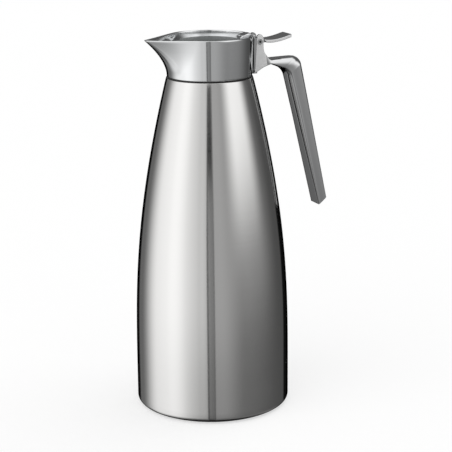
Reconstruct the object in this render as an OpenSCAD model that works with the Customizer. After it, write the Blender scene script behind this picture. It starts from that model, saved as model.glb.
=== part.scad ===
// Double-walled vacuum jug with a pouring collar, a lever-operated flip lid and an open handle.
// Origin: jug axis at the base plane. +Z up, handle towards +X, spout towards -X. Millimetres.

/* [Body] */
// Height of the rim above the surface it stands on
rim_h = 300; // [270:1:340]
// Height of the pouring collar, from the seam to the rim
collar_h = 31.4; // [26:0.2:40]
// Largest radius of the outer shell
body_r = 62; // [58:0.5:70]
// Radius of the shoulder where the collar stands
shoulder_r = 34; // [31:0.25:38]
// Radius of the rounded bottom edge
base_fillet = 4; // [2:0.5:8]
// Height up to which the wall is a plain cylinder
wall_straight = 30; // [20:1:50]
// How long the wall keeps its upright direction
pull_low = 70; // [40:1:90]
// How long the wall keeps the shoulder's direction
pull_high = 108; // [60:1:115]
// Slope of the wall at the shoulder, from upright
shoulder_angle = 14; // [8:0.5:20]
// Wall of the outer shell
shell_t = 1.0; // [0.6:0.1:1.5]

/* [Vacuum flask] */
// Wall of the inner flask
flask_t = 0.8; // [0.5:0.1:1.5]
// Vacuum gap between the two walls
vacuum_gap = 6.8; // [4:0.1:8]
// Vacuum gap under the flask
base_gap = 9; // [6:0.5:14]
// Rounding of the flask's bottom edge
flask_fillet = 10; // [6:0.5:14]
// Length of the straight neck of the flask
neck_len = 14; // [14:0.5:20]
// Height of the cone that leads into the neck
neck_cone_h = 8; // [5:0.5:14]
// Thickness of the reflecting foil round the flask
foil_t = 0.3; // [0.1:0.05:0.6]
// Height of the foil's upper edge
foil_top_h = 200; // [120:5:230]

/* [Base] */
// Height of the shell's lower edge above the surface
foot_h = 1.0; // [0.8:0.1:3]
// Width of the shell's inturned lower edge
base_lip = 6; // [4:0.5:10]
// Thickness of the welded base plate
base_t = 1.0; // [0.8:0.1:2]
// Radius of the hole the flask is evacuated through
evac_r = 2; // [1:0.25:3]

/* [Collar and spout] */
// Wall of the collar
collar_t = 1.0; // [0.8:0.1:1.4]
// How much the collar widens from the seam to the rim
collar_flare = 0.8; // [0:0.1:2]
// Step in from the shoulder to the collar
collar_step = 0.3; // [0:0.1:0.8]
// Reach of the spout's tip from the jug axis
spout_reach = 54.2; // [48:0.2:60]
// Rounding of the spout's tip
spout_tip_r = 1.6; // [1.4:0.1:3]
// How late the spout flares out
spout_power = 1.75; // [1.3:0.05:2.2]
// Depth of the rim's notch for the lid arm
notch_depth = 3; // [2.5:0.1:4]
// Thickness of the seam gasket
gasket_t = 0.6; // [0.4:0.1:1.2]

/* [Neck insert] */
// Radius of the pouring opening
mouth_r = 22.5; // [20:0.25:23]
// Depth of the insert's sleeve in the neck
sleeve_depth = 12; // [9:0.5:13]
// Radial play of the sleeve in the neck
sleeve_play = 0.2; // [0.1:0.05:0.4]
// Height of the sealing land above the seam gasket
land_h = 1.4; // [1:0.1:3]
// Width of the sealing land
land_w = 3.5; // [3:0.1:4.5]
// Rise of the drip dish from the land to the collar
dish_rise = 2.4; // [1:0.1:4]

/* [Lid] */
// Depth of the lid's top below the rim
lid_drop = 3.7; // [3:0.1:6]
// Gap between the lid's edge and the collar
lid_gap = 2.3; // [2:0.1:4]
// Width of the lid's sloping border
lid_border_w = 7; // [5:0.25:8]
// Fall of the lid's sloping border
lid_border_drop = 3.3; // [2:0.1:4]
// Sheet thickness of the lid cap
cap_t = 0.8; // [0.5:0.1:1.2]
// Wall of the lid's plastic parts
plug_t = 1.6; // [1.2:0.1:2.2]
// Radius of the lid plug above the seal
plug_r = 23.5; // [23:0.1:24]
// Radius of the plug's lower end
plug_nose_r = 17; // [14:0.25:18]
// Depth of the plug below the sealing land
plug_depth = 6.6; // [4:0.2:7]
// Clearance under the lid seal when the lid is shut
seal_gap = 0.2; // [0.1:0.05:0.4]
// Thickness of the lid seal
seal_t = 1.1; // [0.8:0.1:2]

/* [Hinge] */
// Distance of the hinge pin from the jug axis
pin_x = 40; // [39.5:0.1:43]
// Depth of the hinge pin below the rim
pin_drop = 6.5; // [6:0.1:8]
// Radius of the hinge pin
pin_r = 1.5; // [1.2:0.05:1.7]
// Running clearance between pin and bush
bush_play = 0.05; // [0.02:0.01:0.09]
// Wall of the hinge bush
bush_t = 0.75; // [0.6:0.05:0.9]
// Radius of the lever's knuckle
knuckle_r = 3.3; // [3:0.1:3.5]
// Half width of the lid arm and the knuckle
arm_half_w = 5.2; // [4.5:0.1:5.3]
// Play between the knuckle and each cheek of the handle
cheek_play = 0.2; // [0.15:0.05:0.4]
// Half of the gap in the knuckle that holds the spring
spring_half_w = 2.3; // [2:0.1:2.6]
// Wire radius of the closing spring
wire_r = 0.35; // [0.25:0.05:0.4]

/* [Lever] */
// Half width of the thumb lever
lever_half_w = 8.75; // [8:0.25:11]
// Thickness of the thumb lever
lever_t = 2.3; // [1.8:0.1:3]
// Reach of the lever beyond the hinge pin
lever_reach = 27.6; // [24:0.2:30]
// Height of the lever's dip below its root
lever_dip = 0.9; // [0:0.1:1.5]
// Rise of the lever's tip above its root
lever_rise = 2.6; // [1:0.1:5]

/* [Handle] */
// Half width of the handle
handle_half_w = 8; // [7.5:0.25:10]
// Radius of the fillet between bracket and arm
bracket_fillet = 9.8; // [6:0.2:10.5]
// Height of the arm's upper side below the rim
arm_top_drop = 20.8; // [20:0.2:24]
// Distance from the bracket's back to the thinnest place of the arm
arm_reach = 7.3; // [6:0.1:10]
// Thickness of the arm at its thinnest place
arm_t = 4.7; // [4.5:0.1:6]
// Slope of the arm's underside, from its thinnest place to the bend
under_slope = 23; // [15:1:30]
// Rise of the handle's crown above the arm
crown_rise = 0.3; // [0:0.1:1]
// Distance from the bracket's back to the outer corner of the bend
bend_reach = 33.4; // [31:0.2:38]
// Rounding of the bend's outer corner
bend_outer_r = 6.5; // [5:0.5:12]
// Rounding of the bend's inner corner
bend_inner_r = 10; // [6:0.5:13]
// Length of the grip's outer side, from the corner of the bend
grip_len = 120.5; // [105:0.5:130]
// Lean of the grip's outer side from upright
grip_angle = 11.4; // [6:0.1:16]
// Slope of the cut across the grip's lower end
grip_end_angle = 40; // [15:1:50]
// Thickness of the grip at its lower end
grip_end_t = 8.2; // [6:0.1:10]
// Thickness of the grip below the bend
grip_top_t = 13.3; // [10:0.1:15]
// Radius of the handle screws
screw_r = 2; // [1.5:0.1:2.2]
// Thickness of the backing plate at its edge
backing_t = 1.6; // [1.2:0.1:2]

/* [Hidden] */
$fn = 96;

// Heights
shoulder_z = rim_h - collar_h;
collar_z = shoulder_z + gasket_t;
base_z = foot_h + shell_t;
flask_z = base_z + base_t + base_gap;
flask_joint_z = flask_z + flask_fillet;
foil_z = flask_joint_z + 4;

// Radii at the neck
flask_inset = shell_t + vacuum_gap;
neck_r = shoulder_r - flask_inset;
neck_in_r = neck_r - flask_t;
sleeve_r = neck_in_r - sleeve_play;
collar_foot_r = shoulder_r - collar_step;
collar_rim_r = collar_foot_r + collar_flare;

// Sealing land of the neck insert and the lid that closes on it
land_z = collar_z + land_h;
land_r = mouth_r + land_w;
lid_z = rim_h - lid_drop;
seal_z = land_z + seal_gap;
plug_foot_z = seal_z + seal_t;
lid_edge_z = lid_z - lid_border_drop;
lid_r = collar_r(lid_edge_z) - collar_t - lid_gap;
lid_flat_r = lid_r - lid_border_w;
plug_flange_t = 1.4;
plug_roof_t = 1.6;
plug_fit = 0.1;
nose_z = land_z - plug_depth;
nose_top_r = mouth_r - 0.9;
seal_r = land_r - 0.4;
cap_in_r = lid_r - cap_t;
cap_skirt_z = lid_edge_z - 2.1;

// Hinge
pin_z = rim_h - pin_drop;
bush_in_r = pin_r + bush_play;
bush_r = bush_in_r + bush_t;
slot_half_w = arm_half_w + cheek_play;
slot_z = pin_z - knuckle_r - 1.7;
coil_r = bush_in_r + 0.4 + wire_r;
coil_turns = 4;

// Bracket of the handle
cheek_r = 3.2;
bracket_back_x = pin_x + cheek_r;
bracket_top_z = pin_z + 5.6;
bracket_front_top_x = pin_x - 2.4;
bracket_front_foot_x = pin_x - 4.5;
bracket_front_z = collar_z + 1.8;
arm_top_z = rim_h - arm_top_drop;
saddle_front_x = collar_rim_r + 0.45;
saddle_top_z = pin_z + 3;
screw_heights = [collar_z + 6.8, collar_z + 14.6];
screw_end_x = pin_x + 1.2;
screw_play = 0.15;
head_r = 3.4;
head_t = 2.2;
// Gap under the bracket's foot and the saddle, above the seam gasket
foot_gap = 0.4;

// Backing plate: its flat inner face, which the screw heads bear on, and its height
backing_x = sqrt(pow(collar_foot_r - collar_t, 2) - pow(handle_half_w, 2)) - backing_t;
backing_play = 0.3;
backing_foot_z = land_z + dish_rise + 2 * backing_play;
backing_top_z = cap_skirt_z - backing_play;

// The wall of the outer shell: a straight stretch, then one Bezier curve to the shoulder.
wall_steps = 22;
function bezier(p, t) =
    pow(1 - t, 3) * p[0] + 3 * pow(1 - t, 2) * t * p[1] + 3 * (1 - t) * t * t * p[2] + pow(t, 3) * p[3];
wall_poles = [
    [body_r, wall_straight],
    [body_r, wall_straight + pull_low],
    [shoulder_r + tan(shoulder_angle) * pull_high, shoulder_z - pull_high],
    [shoulder_r, shoulder_z]
];
wall_curve = [for (i = [0:wall_steps]) bezier(wall_poles, i / wall_steps)];
wall_table = concat([[0, body_r]], [for (p = wall_curve) [p[1], p[0]]]);
function wall_r(z) = lookup(z, wall_table);

// The stretch of that wall between two heights, moved inwards by an inset.
function wall_line(z0, z1, inset) = concat(
    [[wall_r(z0) - inset, z0]],
    [for (p = wall_curve) if (p[1] > z0 + 0.01 && p[1] < z1 - 0.01) [p[0] - inset, p[1]]],
    [[wall_r(z1) - inset, z1]]
);
function reversed(list) = [for (i = [len(list) - 1:-1:0]) list[i]];
function arc(c, r, a0, a1, n) = [for (i = [0:n])
    let (a = a0 + (a1 - a0) * i / n)
    c + r * [cos(a), sin(a)]];
function collar_r(z) = collar_foot_r + collar_flare * (z - collar_z) / (rim_h - collar_z);

// A rod along Y that is centred on a point of the XZ plane.
module cross_rod(x, z, r, half_w) {
    translate([x, 0, z]) rotate([90, 0, 0]) cylinder(r = r, h = 2 * half_w, center = true);
}

// An outline drawn in the XZ plane, given a width along Y.
module side_slab(half_w) {
    translate([0, half_w, 0]) rotate([90, 0, 0]) linear_extrude(2 * half_w) children();
}

// Rods along the two handle screws, from one distance from the jug axis to another.
module along_screws(r, x0, x1) {
    for (z = screw_heights)
        translate([x0, 0, z]) rotate([0, 90, 0]) cylinder(r = r, h = x1 - x0);
}

// A solid cone frustum that fills the collar up to an inset from its outer face.
module collar_cone(inset) {
    rotate_extrude() polygon([
        [0, collar_z - 2],
        [collar_r(collar_z - 2) - inset, collar_z - 2],
        [collar_r(rim_h + 2) - inset, rim_h + 2],
        [0, rim_h + 2]
    ]);
}

module outer_shell() {
    fillet_c = [body_r - base_fillet, foot_h + base_fillet];
    color("lightgray") rotate_extrude() polygon(concat(
        [[fillet_c[0] - base_lip, foot_h]],
        arc(fillet_c, base_fillet, -90, -15, 8),
        wall_line(fillet_c[1], shoulder_z, 0),
        [[neck_r, shoulder_z], [neck_r, shoulder_z - shell_t]],
        reversed(wall_line(fillet_c[1], shoulder_z - shell_t, shell_t)),
        reversed(arc(fillet_c, base_fillet - shell_t, -90, -15, 8)),
        [[fillet_c[0] - base_lip, base_z]]
    ));
}

module shell_base() {
    color("silver") difference() {
        translate([0, 0, base_z]) cylinder(r = body_r - base_fillet - 0.2, h = base_t);
        translate([0, 0, base_z - 1]) cylinder(r = evac_r, h = base_t + 2);
    }
}

module inner_flask() {
    cone_z = shoulder_z - neck_len - neck_cone_h;
    color("gainsboro") rotate_extrude() polygon(concat(
        wall_line(flask_joint_z, cone_z, flask_inset),
        [
            [neck_r, shoulder_z - neck_len],
            [neck_r, shoulder_z],
            [neck_in_r, shoulder_z],
            [neck_in_r, shoulder_z - neck_len]
        ],
        reversed(wall_line(flask_joint_z, cone_z, flask_inset + flask_t))
    ));
}

module flask_base() {
    edge_r = wall_r(flask_joint_z) - flask_inset;
    fillet_c = [edge_r - flask_fillet, flask_joint_z];
    color("gainsboro") rotate_extrude() polygon(concat(
        [[0, flask_z]],
        arc(fillet_c, flask_fillet, -90, 0, 10),
        arc(fillet_c, flask_fillet - flask_t, 0, -90, 10),
        [[0, flask_z + flask_t]]
    ));
}

module heat_shield() {
    color("peru") rotate_extrude() polygon(concat(
        wall_line(foil_z, foil_top_h, flask_inset - foil_t),
        reversed(wall_line(foil_z, foil_top_h, flask_inset))
    ));
}

module flask_support() {
    support_r = 34;
    support_w = 5;
    color("whitesmoke") translate([0, 0, base_z + base_t]) difference() {
        cylinder(r = support_r, h = base_gap);
        translate([0, 0, -1]) cylinder(r = support_r - support_w, h = base_gap + 2);
    }
}

module getter() {
    getter_r = 12;
    color("dimgray") translate([0, 0, base_z + base_t]) difference() {
        cylinder(r = getter_r, h = 2);
        translate([0, 0, -1]) cylinder(r = getter_r - 3, h = 4);
    }
}

module vacuum_seal() {
    color("gray") {
        translate([0, 0, foot_h + 0.2]) cylinder(r = evac_r + 4, h = shell_t - 0.2);
        translate([0, 0, base_z]) cylinder(r = evac_r, h = base_t);
    }
}

module foot_pad() {
    lip_in_r = body_r - base_fillet - base_lip;
    color("dimgray") difference() {
        union() {
            cylinder(r = body_r - base_fillet - 1.5, h = foot_h);
            translate([0, 0, foot_h]) cylinder(r = lip_in_r - 0.2, h = shell_t);
        }
        translate([0, 0, foot_h]) cylinder(r = evac_r + 4.5, h = shell_t + 1);
    }
}

module seam_gasket() {
    color("black") translate([0, 0, shoulder_z]) difference() {
        cylinder(r = collar_foot_r - 0.3, h = gasket_t);
        translate([0, 0, -1]) cylinder(r = neck_in_r, h = gasket_t + 2);
    }
}

// Groove for the neck ring, half way down the sleeve
ring_z = shoulder_z - sleeve_depth / 2;
ring_h = 1.8;
ring_depth = 1.2;

module neck_insert() {
    rim_r = collar_foot_r - collar_t - 0.15;
    color("dimgray") rotate_extrude() polygon([
        [mouth_r, shoulder_z - sleeve_depth],
        [sleeve_r, shoulder_z - sleeve_depth],
        [sleeve_r, ring_z - ring_h / 2],
        [sleeve_r - ring_depth, ring_z - ring_h / 2],
        [sleeve_r - ring_depth, ring_z + ring_h / 2],
        [sleeve_r, ring_z + ring_h / 2],
        [sleeve_r, collar_z],
        [rim_r, collar_z],
        [rim_r, land_z + dish_rise],
        [land_r, land_z],
        [mouth_r, land_z]
    ]);
}

module neck_ring() {
    color("black") translate([0, 0, ring_z - ring_h / 2]) difference() {
        cylinder(r = neck_in_r, h = ring_h);
        translate([0, 0, -1]) cylinder(r = sleeve_r - ring_depth, h = ring_h + 2);
    }
}

// The collar's plan at each height is two circles joined by tangents: the collar itself and the
// end of the spout, which moves outwards and gets sharper as the height grows.
function spout_r(z) = collar_r(z)
    + (spout_reach - collar_rim_r) * pow(max(0, (z - collar_z) / (rim_h - collar_z)), spout_power);
function spout_end_r(z) = spout_tip_r
    + (collar_r(z) - spout_tip_r) * (rim_h - z) / (rim_h - collar_z);
function plan_r(a, big_r, small_r, c) =
    let (
        tangent = c > big_r - small_r + 0.001 ? acos((big_r - small_r) / c) : 0,
        tip_end = atan2(small_r * sin(tangent), c + small_r * cos(tangent))
    )
    tangent == 0 || a >= tangent ? big_r :
    a > tip_end ? big_r / cos(tangent - a) :
    c * cos(a) + sqrt(small_r * small_r - pow(c * sin(a), 2));
plan_half_count = 36;
function plan_angle(i) = 180 * pow(i / plan_half_count, 1.35);
plan_angles = [for (i = [0:2 * plan_half_count - 1])
    i <= plan_half_count ? plan_angle(i) : 360 - plan_angle(2 * plan_half_count - i)];
function collar_ring(z, inset) = [for (a = plan_angles)
    let (
        folded = a > 180 ? 360 - a : a,
        end_r = spout_end_r(z),
        r = plan_r(folded, collar_r(z) - inset, end_r - inset, spout_r(z) - end_r)
    )
    [-r * cos(a), r * sin(a), z]];

module collar() {
    level_count = 11;
    count = 2 * plan_half_count;
    heights = [for (i = [0:level_count]) collar_z + (rim_h - collar_z) * i / level_count];
    rings = concat(
        [for (z = heights) collar_ring(z, 0)],
        [for (z = reversed(heights)) collar_ring(z, collar_t)]
    );
    total = len(rings);
    color("silver") difference() {
        polyhedron(
            points = [for (ring = rings) for (p = ring) p],
            faces = [for (k = [0:total - 1]) for (i = [0:count - 1])
                let (k2 = (k + 1) % total, i2 = (i + 1) % count)
                each [
                    [k * count + i, k2 * count + i, k2 * count + i2],
                    [k * count + i, k2 * count + i2, k * count + i2]
                ]]
        );
        translate([collar_rim_r - 5, -arm_half_w - 0.6, rim_h - notch_depth])
            cube([10, 2 * arm_half_w + 1.2, notch_depth + 1]);
        along_screws(screw_r + screw_play, backing_x, collar_rim_r + 1);
    }
}

// The gap between the bracket's two cheeks, which the lever's knuckle turns in
module knuckle_slot() {
    translate([collar_foot_r - 4, -slot_half_w, slot_z])
        cube([20, 2 * slot_half_w, rim_h - slot_z + 10]);
}

module saddle() {
    pad_half_w = handle_half_w - 2;
    color("gray") difference() {
        union() {
            side_slab(handle_half_w) polygon([
                [saddle_front_x, bracket_front_z],
                [bracket_front_foot_x, bracket_front_z],
                [bracket_front_top_x, saddle_top_z],
                [saddle_front_x, saddle_top_z]
            ]);
            translate([collar_foot_r - 3, -pad_half_w, bracket_front_z])
                cube([saddle_front_x - collar_foot_r + 3, 2 * pad_half_w, saddle_top_z - bracket_front_z]);
        }
        collar_cone(0);
        knuckle_slot();
        along_screws(screw_r + screw_play, backing_x, bracket_front_top_x + 1);
    }
}

// The handle seen from the side. Its outer line runs along the arm, round the bend's corner and
// down the grip. Its inner line follows the arm's underside, the inner corner and the grip.
handle_start_x = bracket_back_x - 1;
bend_corner = [bracket_back_x + bend_reach, arm_top_z + crown_rise];
grip_out = [sin(grip_angle), -cos(grip_angle)];
grip_across = [cos(grip_angle), sin(grip_angle)];
grip_end = bend_corner + grip_len * grip_out;
grip_top_at = 20;
inner_top = bend_corner + grip_top_at * grip_out - grip_top_t * grip_across;
inner_end = grip_end - grip_end_t * grip_across;
inner_down = (inner_end - inner_top) / norm(inner_end - inner_top);
arm_under = [bracket_back_x + arm_reach, arm_top_z - arm_t];
under_down = [cos(under_slope), -sin(under_slope)];
function crossing(p, d, q, e) =
    p + d * ((q[0] - p[0]) * e[1] - (q[1] - p[1]) * e[0]) / (d[0] * e[1] - d[1] * e[0]);
inner_corner = crossing(arm_under, under_down, inner_top, inner_down);
grip_spare = 12;

// Points from a start to an end, round a corner that turns from one direction to another.
function rounded_path(start, end, corner, from_dir, to_dir, r, start_count, end_count) =
    let (
        a0 = atan2(from_dir[0], -from_dir[1]),
        a1 = atan2(to_dir[0], -to_dir[1]),
        cut = r * tan((a0 - a1) / 2),
        first = corner - cut * from_dir,
        last = corner + cut * to_dir
    )
    concat(
        [for (i = [0:start_count - 1]) start + (first - start) * i / start_count],
        arc(first + r * [from_dir[1], -from_dir[0]], r, a0, a1, 10),
        [for (i = [1:end_count]) last + (end - last) * pow(i / end_count, 1.3)]
    );
outer_line = rounded_path([handle_start_x, arm_top_z], grip_end + grip_spare * grip_out,
    bend_corner, [1, 0], grip_out, bend_outer_r, 6, 12);
inner_line = concat(
    [for (i = [0:1]) [handle_start_x + (arm_under[0] - handle_start_x) * i / 2, arm_under[1]]],
    rounded_path(arm_under, inner_end + grip_spare * inner_down,
        inner_corner, under_down, inner_down, bend_inner_r, 4, 12)
);

// The handle's sections are rounder at the arm than at the end of the grip.
handle_sides = 20;
handle_power_top = 0.5;
handle_power_end = 0.3;
function squircle(a, power) = sign(a) * pow(abs(a), power);
function handle_ring(k) =
    let (
        p = (outer_line[k] + inner_line[k]) / 2,
        half = (outer_line[k] - inner_line[k]) / 2,
        share = k / (len(outer_line) - 1),
        power = handle_power_top + (handle_power_end - handle_power_top) * share
    )
    [for (i = [0:handle_sides - 1])
        let (
            a = 360 * i / handle_sides,
            u = squircle(cos(a), power)
        )
        [p[0] + u * half[0], handle_half_w * squircle(sin(a), power), p[1] + u * half[1]]];

module handle_loft() {
    rings = [for (k = [0:len(outer_line) - 1]) handle_ring(k)];
    count = handle_sides;
    polyhedron(
        points = [for (ring = rings) for (p = ring) p],
        faces = concat(
            [[for (i = [count - 1:-1:0]) i]],
            [for (k = [0:len(rings) - 2]) for (i = [0:count - 1])
                let (i2 = (i + 1) % count)
                each [
                    [k * count + i, (k + 1) * count + i2, (k + 1) * count + i],
                    [k * count + i, k * count + i2, (k + 1) * count + i2]
                ]],
            [[for (i = [0:count - 1]) (len(rings) - 1) * count + i]]
        )
    );
}

module bracket_outline() {
    fillet_c = [bracket_back_x + bracket_fillet, arm_top_z + bracket_fillet];
    polygon(concat(
        [
            [bracket_front_foot_x - 1.2, collar_z + foot_gap],
            [bracket_front_foot_x + 1.6, collar_z + foot_gap],
            [pin_x, collar_z + 2.1],
            [pin_x + 4.3, collar_z + 4],
            [bracket_back_x + 6, collar_z + 4.9]
        ],
        arc(fillet_c, bracket_fillet, -100, -180, 10),
        [
            [bracket_back_x, pin_z + 1],
            [pin_x + 1.9, bracket_top_z - 0.5],
            [pin_x + 0.9, bracket_top_z],
            [pin_x - 1.2, bracket_top_z],
            [pin_x - 2.1, bracket_top_z - 0.6],
            [bracket_front_top_x, saddle_top_z],
            [bracket_front_foot_x, bracket_front_z]
        ]
    ));
}

module handle() {
    color("lightgray") difference() {
        union() {
            handle_loft();
            side_slab(handle_half_w - 0.01) bracket_outline();
        }
        knuckle_slot();
        cross_rod(pin_x, pin_z, pin_r, handle_half_w + 5);
        along_screws(screw_r, saddle_front_x, screw_end_x + 1);
        translate([grip_end[0], 0, grip_end[1]]) rotate([0, -grip_end_angle, 0])
            translate([-40, -handle_half_w - 1, -40]) cube([60, 2 * handle_half_w + 2, 40]);
    }
}

module backing_plate() {
    color("silver") difference() {
        intersection() {
            translate([backing_x, -handle_half_w, backing_foot_z])
                cube([10, 2 * handle_half_w, backing_top_z - backing_foot_z]);
            collar_cone(collar_t + 0.08);
        }
        along_screws(screw_r + screw_play, backing_x - 1, collar_rim_r);
    }
}

module handle_screws() {
    color("gray") for (z = screw_heights)
        translate([backing_x, 0, z]) rotate([0, 90, 0]) difference() {
            union() {
                translate([0, 0, -head_t]) cylinder(r = head_r, h = head_t);
                cylinder(r = screw_r, h = screw_end_x - backing_x);
            }
            translate([0, 0, -head_t - 1]) cylinder(r = 1.5, h = 2.2, $fn = 6);
        }
}

module hinge_pin() {
    head_h = 0.6;
    color("silver") difference() {
        union() {
            cross_rod(pin_x, pin_z, pin_r, handle_half_w);
            for (side = [-1, 1])
                translate([pin_x, side * (handle_half_w + head_h / 2), pin_z]) rotate([90, 0, 0])
                    cylinder(r = pin_r + 0.7, h = head_h, center = true);
        }
        for (side = [-1, 1])
            translate([pin_x, side * (handle_half_w + head_h), pin_z]) rotate([90, 0, 0])
                cylinder(r = pin_r - 0.5, h = 3, center = true);
    }
}

// The closing spring: a coil round the pin with one leg down to the bracket's floor.
coil_sides = 8;
coil_ring_count = coil_turns * 14;
coil_half = spring_half_w - wire_r - 0.25;
coil_path = concat(
    [[pin_x - coil_r, -coil_half, slot_z + wire_r + 0.1]],
    [for (i = [0:coil_ring_count])
        let (a = 180 + 360 * coil_turns * i / coil_ring_count)
        [pin_x + coil_r * cos(a), coil_half * (2 * i / coil_ring_count - 1), pin_z + coil_r * sin(-a)]],
    [[pin_x - coil_r, coil_half, pin_z - 3.4]]
);
function coil_frame(i) =
    let (
        last = len(coil_path) - 1,
        d = coil_path[min(last, i + 1)] - coil_path[max(0, i - 1)],
        t = d / norm(d),
        side = cross(t, [0, 1, 0]),
        n = side / norm(side)
    )
    [n, cross(t, n)];

module torsion_spring() {
    last = len(coil_path) - 1;
    color("darkgray") polyhedron(
        points = [for (i = [0:last]) let (f = coil_frame(i)) for (k = [0:coil_sides - 1])
            coil_path[i] + wire_r * (cos(360 * k / coil_sides) * f[0] + sin(360 * k / coil_sides) * f[1])],
        faces = concat(
            [[for (k = [0:coil_sides - 1]) k]],
            [for (i = [0:last - 1]) for (k = [0:coil_sides - 1])
                let (k2 = (k + 1) % coil_sides)
                each [
                    [i * coil_sides + k, (i + 1) * coil_sides + k2, i * coil_sides + k2],
                    [i * coil_sides + k, (i + 1) * coil_sides + k, (i + 1) * coil_sides + k2]
                ]],
            [[for (k = [coil_sides - 1:-1:0]) last * coil_sides + k]]
        )
    );
}

// Height of the lid cap's upper face at a radius on its sloping border
function border_z(r) = lid_z - lid_border_drop * max(0, r - lid_flat_r) / lid_border_w;

// Screws that hold the lever's foot: their distance from the jug axis and from each other
foot_screw_x = (lid_flat_r + lid_r) / 2 + 0.2;
foot_screw_half = 2.7;
foot_screw_r = 1.2;
foot_screw_head_r = 1.9;
foot_screw_z = lid_z + 1.6;

module foot_screw_holes(r, z0, z1) {
    for (side = [-1, 1])
        translate([foot_screw_x, side * foot_screw_half, z0]) cylinder(r = r, h = z1 - z0);
}

module lid_cap() {
    color("silver") difference() {
        rotate_extrude() polygon([
            [0, lid_z],
            [lid_flat_r, lid_z],
            [lid_r, lid_edge_z],
            [lid_r, cap_skirt_z],
            [cap_in_r, cap_skirt_z],
            [cap_in_r, border_z(cap_in_r) - cap_t],
            [lid_flat_r, lid_z - cap_t],
            [0, lid_z - cap_t]
        ]);
        foot_screw_holes(foot_screw_r + screw_play, lid_z - 10, lid_z + 5);
    }
}

module lid_plug() {
    color("dimgray") difference() {
        rotate_extrude() polygon([
            [0, lid_z - cap_t],
            [lid_flat_r, lid_z - cap_t],
            [cap_in_r, border_z(cap_in_r) - cap_t],
            [cap_in_r, cap_skirt_z],
            [plug_r, cap_skirt_z - plug_t],
            [plug_r, plug_foot_z + plug_flange_t],
            [plug_r - plug_t, plug_foot_z + plug_flange_t],
            [plug_r - plug_t, lid_z - cap_t - plug_roof_t],
            [0, lid_z - cap_t - plug_roof_t]
        ]);
        foot_screw_holes(foot_screw_r, lid_z - 5.2, lid_z + 5);
    }
}

module lid_base() {
    spigot_r = plug_r - plug_t - plug_fit;
    top_z = plug_foot_z + plug_flange_t;
    color("dimgray") rotate_extrude() polygon([
        [0, nose_z],
        [plug_nose_r - 1.5, nose_z],
        [plug_nose_r, nose_z + 1.2],
        [nose_top_r, land_z],
        [nose_top_r, plug_foot_z],
        [seal_r, plug_foot_z],
        [seal_r, top_z],
        [spigot_r, top_z],
        [spigot_r, top_z + 2.5],
        [spigot_r - plug_t, top_z + 2.5],
        [spigot_r - plug_t, land_z],
        [plug_nose_r - plug_t, nose_z + plug_t],
        [0, nose_z + plug_t]
    ]);
}

module lid_insulation() {
    side_r = plug_r - 2 * plug_t - plug_fit - 0.3;
    color("khaki") rotate_extrude() polygon([
        [0, nose_z + plug_t],
        [plug_nose_r - plug_t - 1, nose_z + plug_t],
        [side_r, land_z + 0.6],
        [side_r, lid_z - cap_t - plug_roof_t],
        [0, lid_z - cap_t - plug_roof_t]
    ]);
}

module lid_seal() {
    color("black") translate([0, 0, seal_z]) difference() {
        cylinder(r = seal_r, h = seal_t);
        translate([0, 0, -1]) cylinder(r = nose_top_r, h = seal_t + 2);
    }
}

// Upper side of the lever behind the hinge: a shallow dip, then a rise to the tip.
lever_root_x = pin_x + 3.9;
lever_root_z = pin_z + 1.7;
lever_tip_x = pin_x + lever_reach;
function lever_top(t) = lever_root_z - 4 * lever_dip * t * (1 - t) * (1 - t) * 1.6 + lever_rise * pow(t, 2.6);
lever_steps = 14;

module lever_outline() {
    top = [for (i = [0:lever_steps])
        let (t = i / lever_steps) [lever_root_x + (lever_tip_x - lever_root_x) * t, lever_top(t)]];
    polygon(concat(
        [[pin_x, pin_z + knuckle_r - 0.6], [pin_x + 2.2, lever_root_z + 0.3]],
        top,
        [for (i = [lever_steps:-1:0]) top[i] - [i == 0 ? -1.1 : 0, lever_t + (i == 0 ? 0.7 : 0)]],
        [[pin_x + 1.2, pin_z - 2]]
    ));
}

module lever_plan() {
    corner = 3.2;
    neck_x = lever_root_x - 0.2;
    union() {
        translate([pin_x - 10, -arm_half_w]) square([20, 2 * arm_half_w]);
        translate([neck_x, -lever_half_w]) square([lever_tip_x - corner - neck_x, 2 * lever_half_w]);
        translate([neck_x, -lever_half_w + corner])
            square([lever_tip_x - neck_x, 2 * (lever_half_w - corner)]);
        for (side = [-1, 1])
            translate([lever_tip_x - corner, side * (lever_half_w - corner)]) circle(r = corner);
    }
}

// What the lever's wide part leaves free, so that it passes behind the handle's cheeks
module lever_shoulder_cut() {
    polygon([
        [pin_x - 2, pin_z - 8],
        [pin_x + 8.4, pin_z - 8],
        [pin_x + 4.8, pin_z - 0.7],
        [pin_x + 3.6, pin_z + 1.2],
        [pin_x - 2, pin_z + 1.2]
    ]);
}

// The lid arm rises from its foot on the lid's border, crosses the rim and drops to the pin.
module arm_outline() {
    polygon([
        [lid_flat_r + 0.6, lid_z - 4],
        [lid_flat_r + 0.6, lid_z + 0.9],
        [lid_flat_r + 2.4, lid_z + 2],
        [lid_flat_r + 5.5, lid_z + 3.2],
        [collar_rim_r - 2.6, rim_h + 0.3],
        [collar_rim_r + 0.2, rim_h + 0.2],
        [pin_x - 2.4, rim_h - 1.4],
        [pin_x, pin_z + knuckle_r],
        [pin_x, pin_z + 0.5],
        [pin_x - 3, pin_z + 1.2],
        [collar_rim_r + 0.6, rim_h - 2.5],
        [collar_rim_r - 1.6, rim_h - 2.5],
        [lid_r - 1.2, lid_z - 1.2],
        [lid_r - 1.2, lid_z - 4]
    ]);
}

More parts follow.
